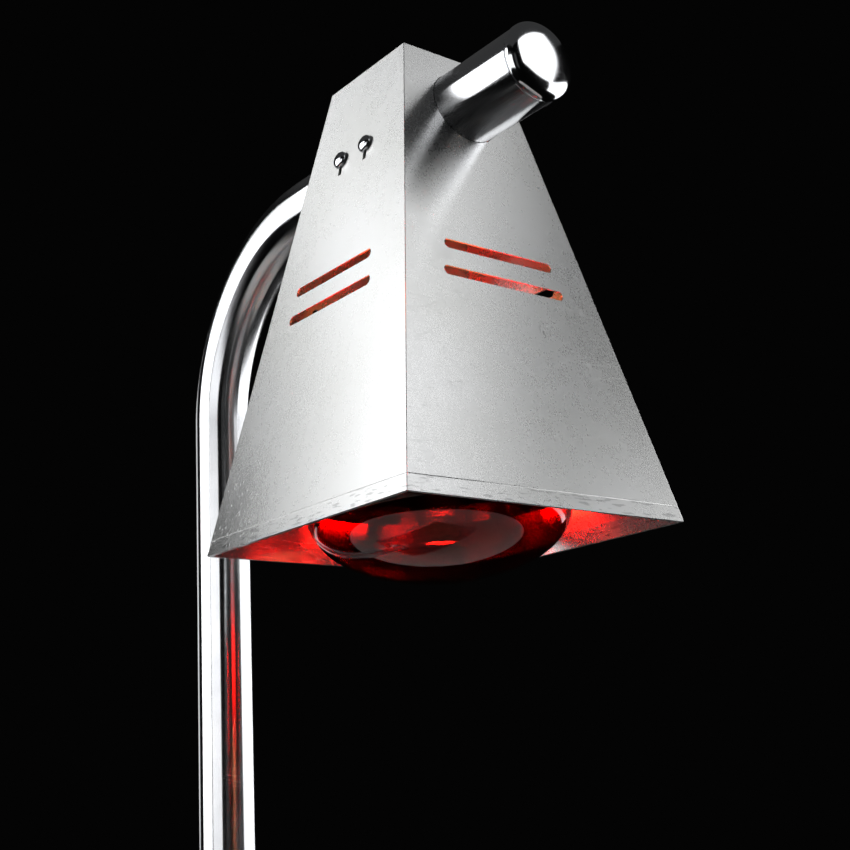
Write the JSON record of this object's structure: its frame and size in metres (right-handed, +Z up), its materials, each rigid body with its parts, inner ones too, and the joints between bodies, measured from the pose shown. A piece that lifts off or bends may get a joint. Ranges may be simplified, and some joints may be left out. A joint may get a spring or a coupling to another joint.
{
  "type": "heat lamp",
  "caption": "Free-standing heat lamp: a tapered square sheet-metal shade with a ruby reflector bulb, tilting on a bent chrome post over a flat base.",
  "frame": {"origin": "middle of the lamp's footprint, at the feet's undersides", "axes": "+Z up, the lamp faces -Y with the post behind it at +Y, and the sleeve's axis and the tilt axis run along Y"},
  "size_m": [0.2, 0.366, 0.6554],
  "materials": {
    "base_sheet": "satin brushed",
    "foot_rubber": "matt moulded",
    "zinc_screws": "zinc plated",
    "post_chrome": "polished chrome plate",
    "screw_chrome": "polished chrome plate",
    "sleeve_chrome": "polished chrome plate",
    "brass_parts": "stamped",
    "bulb_brass": "rolled thread",
    "bush_bronze": "sintered",
    "switch_plastic": "moulded",
    "gland_nylon": "moulded",
    "terminal_nylon": "moulded",
    "live_insulation": "silicone sleeve",
    "neutral_insulation": "silicone sleeve",
    "shade_sheet": "satin sheet, worn",
    "bracket_steel": "zinc plated",
    "porcelain": "glazed ceramic",
    "grommet_silicone": "moulded",
    "ruby_glass": "clear ruby glass",
    "clear_glass": "clear glass",
    "black_glass": "fused black glass",
    "tungsten": "coiled wire",
    "solder": "soldered bead"
  },
  "bodies": {
    "stand": {"base_housing": "base_sheet", "base_cover": "base_sheet", "foot_front_left": "foot_rubber", "foot_front_right": "foot_rubber", "foot_rear_left": "foot_rubber", "foot_rear_right": "foot_rubber", "foot_screw_front_left": "zinc_screws", "foot_screw_front_right": "zinc_screws", "foot_screw_rear_left": "zinc_screws", "foot_screw_rear_right": "zinc_screws", "post_washer": "zinc_screws", "post_tube": "post_chrome", "post_flange": "post_chrome", "tilt_stop_screw": "screw_chrome", "post_locknut": "brass_parts", "switch_frame": "switch_plastic", "cable_gland": "gland_nylon", "gland_locknut": "gland_nylon", "terminal_block": "terminal_nylon", "wire_stand_live": "live_insulation", "wire_switch_live": "live_insulation", "wire_stand_neutral": "neutral_insulation", "wire_switch_neutral": "neutral_insulation"},
    "head": {"shade_half_left": "shade_sheet", "shade_half_right": "shade_sheet", "shade_top": "shade_sheet", "sleeve_tube": "sleeve_chrome", "end_cap": "sleeve_chrome", "bush_front": "bush_bronze", "bush_rear": "bush_bronze", "mount_bracket": "bracket_steel", "saddle_front": "bracket_steel", "saddle_rear": "bracket_steel", "saddle_screw_front": "zinc_screws", "saddle_screw_rear": "zinc_screws", "shade_screw_left_front": "screw_chrome", "shade_screw_left_rear": "screw_chrome", "shade_screw_right_front": "screw_chrome", "shade_screw_right_rear": "screw_chrome", "shade_nut_left_front": "zinc_screws", "shade_nut_left_rear": "zinc_screws", "shade_nut_right_front": "zinc_screws", "shade_nut_right_rear": "zinc_screws", "holder_body": "porcelain", "holder_shell": "brass_parts", "holder_contact": "brass_parts", "holder_screw_left": "zinc_screws", "holder_screw_right": "zinc_screws", "wire_grommet": "grommet_silicone", "wire_head_live": "live_insulation", "wire_head_neutral": "neutral_insulation", "splice_live": "terminal_nylon", "splice_neutral": "terminal_nylon"},
    "rocker": {"switch_rocker": "switch_plastic"},
    "bulb_travel": {"bulb_tip": "solder"},
    "bulb": {"bulb_glass": "ruby_glass", "bulb_cap": "bulb_brass", "bulb_insulator": "black_glass", "bulb_stem": "clear_glass", "bulb_filament": "tungsten"}
  },
  "joints": [
    {"name": "head_tilt", "type": "hinge", "parent": "stand", "child": "head", "pos_m": [0, -0.07635, 0.6264], "axis": [0, 1, 0], "range_deg": [-35, 35]},
    {"name": "switch_rock", "type": "hinge", "parent": "stand", "child": "rocker", "pos_m": [0, -0.17635, 0.034], "axis": [1, 0, 0], "range_deg": [0, 24]},
    {"name": "bulb_slide", "type": "slide", "parent": "head", "child": "bulb_travel", "axis": [0, 0, -1], "range_m": [0, 0.0164]},
    {"name": "bulb_spin", "type": "hinge", "parent": "bulb_travel", "child": "bulb", "pos_m": [0, -0.07635, 0.42], "axis": [0, 0, -1], "range_deg": [0, 1620]}
  ],
  "couplings": [
    {"joint": "bulb_slide", "follows": "bulb_spin", "m_per_rad": 0.00057773}
  ]
}
